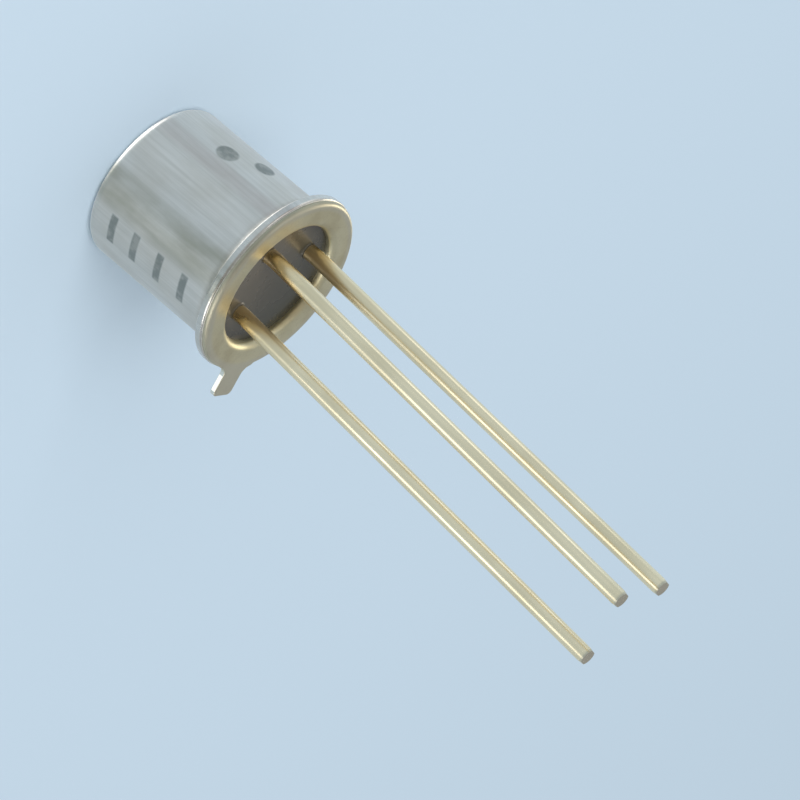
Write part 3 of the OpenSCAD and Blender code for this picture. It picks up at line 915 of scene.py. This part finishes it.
def seam_grid():
    """A thin torus: each of its circles has a radius that wanders with slow and fast cosines of the turn."""
    turn = np.linspace(0, 2 * np.pi, SEAM_COLUMNS, endpoint=False)
    thick = BEAD_R + BEAD_VARY * sum(share * np.cos(count * turn + first) for share, count, first in WANDER)
    ring = FLANGE_R + BEAD_OUT + BEAD_DRIFT * np.cos(DRIFT_WAVES * turn)
    a = np.linspace(0, 2 * np.pi, BEAD_SIDES, endpoint=False)[:, None]
    radius, height = ring + thick * np.cos(a), HEADER_Z + BEAD_UP + thick * np.sin(a)
    return np.stack((radius * np.cos(turn), radius * np.sin(turn), height), axis=-1)


print("seam grid:", seam_grid().shape)

# %% Weld seam piece
# Weld metal freezes bright and slightly crusty, and the heat leaves it a warm grey.
BEAD_GRAIN = 0.05
weld_metal = grained_metal(
    "heat_tinted_weld_bead", BEAD_GRAIN, 4.0, (0.35, 0.7), ("#e6e1d4", "#d0c8b7"), 0.32, 0.003)
# The rings run backwards, so that the faces point outwards.
seam = skin("weld_seam", seam_grid()[::-1], closed=True)
settle(seam, None, weld_metal)

# %% [markdown]
# ## CAD nodes that stay
# The glass and the four pieces inside the can have the right shape already. They could be rebuilt as grids
# too, but the glass shows only its face and the rest is hidden, so they only change material.

# %% Dress the CAD nodes
for node_name, material in (
        ("glass_seal", glass), ("die_attach", die_solder), ("jfet_die", silicon),
        ("source_bond_wire", wire_gold), ("drain_bond_wire", wire_gold)):
    nodes[node_name].data.materials[0] = material
    print(node_name, "wears", material.name)

# %% [markdown]
# ## Floor, world and lamps
# The part stands on a sheet of pale blue card. Bright metal shows the room more than the lamps, so the room
# matters most. Real cards could be set up round the part, but they would light the floor too. So the world
# is a plain studio that only gloss sees: the card's colour below, a soft grey above, and soft patches for a
# window and reflector cards. One broad lamp above the camera's side adds a soft shadow.

# %% Floor
BACKDROP = "#c4d5e3"
CARD = "#c8dae9"
FLOOR_HALF_MM = 600


def make_floor():
    """A flat square sheet of matt card at the height of the can's flat top."""
    half = FLOOR_HALF_MM * MM
    mesh = bpy.data.meshes.new("floor")
    corners = [(-half, -half, 0), (half, -half, 0), (half, half, 0), (-half, half, 0)]
    mesh.from_pydata(corners, [], [(0, 1, 2, 3)])
    floor = bpy.data.objects.new("floor", mesh)
    scene.collection.objects.link(floor)
    material = bpy.data.materials.new("pale_blue_card")
    material.use_nodes = True
    tree = material.node_tree
    tree.nodes.clear()
    matt = add(tree, "ShaderNodeBsdfDiffuse", {"Color": linear(CARD)})
    add(tree, "ShaderNodeOutputMaterial", {"Surface": matt})
    mesh.materials.append(material)
    floor.visible_glossy = False
    return floor


floor = make_floor()
print("floor", FLOOR_HALF_MM * 2, "mm square")

# %% World
# The dome lights everything matt. The other colours and the patches are what gloss mirrors.
DOME = "#d0d3d4"
UPPER_BACK = "#b0b6be"
UPPER_FRONT = "#a8a9ab"
WHITE = "#ffffff"
# Turn and rise of the middle, inner and outer half width in degrees, colour and strength
PATCHES = (
    # A bright sheet low down draws the lines on the can's corner and on its rim.
    (-106, -78, 12, 28, WHITE, 2.5),
    # A narrow card draws a soft line along the wall, and lights the tab's cut side and the leads.
    (50, -24, 3, 9, WHITE, 0.9),
    # A warm window behind lights the header's face and lip, and the glass.
    (-147, 18, 8, 17, "#fff4dc", 3.2),
    # A dim blue wall lights one side of the can's wall and of the leads.
    (-122, -15, 8, 45, "#d4e9ff", 0.17),
    # A high card draws faint lines on the header's rounded edges.
    (-64, 44, 8, 22, WHITE, 0.8),
    # A faint fill lifts the can's wall and the leads a little.
    (-34, -24, 8, 30, WHITE, 0.06),
    # A bright card lights the flange's edge beside the tab, and the lip.
    (78, 20, 6, 16, WHITE, 4.2),
)


def make_world():
    """A pale dome for matt surfaces. Metal mirrors a studio: card below, grey above, and soft patches."""
    world = bpy.data.worlds.new("studio")
    world.use_nodes = True
    world.cycles.sampling_method = "NONE"
    tree = world.node_tree
    tree.nodes.clear()
    way = add(tree, "ShaderNodeTexCoord", out="Generated")
    front = add(tree, VECTOR, (way, toward(0, 0)), "Value", operation="DOT_PRODUCT")
    front = add(tree, RANGE, (front, -0.6, 0.8), **SMOOTH)
    tones = {BELOW: linear(UPPER_BACK), ABOVE: linear(UPPER_FRONT)}
    upper = add(tree, MIX, {SHARE: front, **tones}, MIXED, **COLOUR)
    height = add(tree, "ShaderNodeSeparateXYZ", (way,), "Z")
    height = add(tree, RANGE, (height, -0.1, 0.15), **SMOOTH)
    total = add(tree, MIX, {SHARE: height, BELOW: linear(BACKDROP), ABOVE: upper}, MIXED, **COLOUR)
    for turn, rise, inner, outer, colour, strength in PATCHES:
        near = add(tree, VECTOR, (way, toward(turn, rise)), "Value", operation="DOT_PRODUCT")
        ends = math.cos(math.radians(outer)), math.cos(math.radians(inner))
        share = add(tree, RANGE, (near, *ends, 0.0, strength), **SMOOTH)
        light = add(tree, VECTOR, {0: linear(colour)[:3], "Scale": share}, operation="SCALE")
        total = add(tree, MIX, {SHARE: 1.0, BELOW: total, ABOVE: light}, MIXED, blend_type="ADD", **COLOUR)
    gloss = add(tree, "ShaderNodeLightPath", out="Is Glossy Ray")
    total = add(tree, MIX, {SHARE: gloss, BELOW: linear(DOME), ABOVE: total}, MIXED, **COLOUR)
    sky = add(tree, "ShaderNodeBackground", {"Color": total, "Strength": 1.0})
    add(tree, "ShaderNodeOutputWorld", {"Surface": sky})
    return world


scene.world = make_world()
print("world with", len(PATCHES), "soft patches")

# %% Key lamp
KEY_TURN, KEY_RISE = -15, 50
KEY_DISTANCE_MM = 350
KEY_SIZE_MM = 240
KEY_WATTS = 0.62


def area_lamp(name, shape, size_mm, way, distance_mm, middle_z, watts):
    """An area lamp that looks along a way at a height on the axis, from a distance in millimetres."""
    data = bpy.data.lights.new(name, "AREA")
    data.shape = shape
    data.size, data.size_y = [side * MM for side in size_mm]
    data.energy = watts
    lamp = bpy.data.objects.new(name, data)
    lamp.location = (way * distance_mm + Vector((0, 0, middle_z))) * MM
    lamp.rotation_euler = way.to_track_quat("Z", "Y").to_euler()
    scene.collection.objects.link(lamp)
    return lamp


key = area_lamp(
    "key_lamp", "DISK", (KEY_SIZE_MM, KEY_SIZE_MM), toward(KEY_TURN, KEY_RISE),
    KEY_DISTANCE_MM, SEAT_Z, KEY_WATTS)
key.visible_glossy = False
print("key lamp watts", round(key.data.energy, 3))

# %% [markdown]
# ## Strip lamps
# A round gold wire mirrors a thin upright slice of the room, and its bright line has to run the whole
# length. A brighter patch of the world would give that line too, but it lights the can's wall as well. So
# two upright strips stand close beside the leads, one on each side. They light the flange's edge a little
# too, and the wall hardly at all. Only gloss shows them, and neither the camera nor the card does.

# %% Strip lamps
STRIP_DISTANCE_MM = 12
STRIP_MIDDLE_Z = 8
STRIP_SIZE_MM = (4, 10)
# Turn and radiance of each strip
STRIPS = ((57, 1.3), (-90, 0.7))
for turn, radiance in STRIPS:
    # The power of a strip is its radiance times pi times its area.
    watts = radiance * math.pi * STRIP_SIZE_MM[0] * MM * STRIP_SIZE_MM[1] * MM
    strip = area_lamp(
        "strip_lamp", "RECTANGLE", STRIP_SIZE_MM, toward(turn, 0), STRIP_DISTANCE_MM, STRIP_MIDDLE_Z, watts)
    strip.visible_camera = False
    strip.visible_diffuse = False
    print("strip lamp at", turn, "watts", round(strip.data.energy, 6))
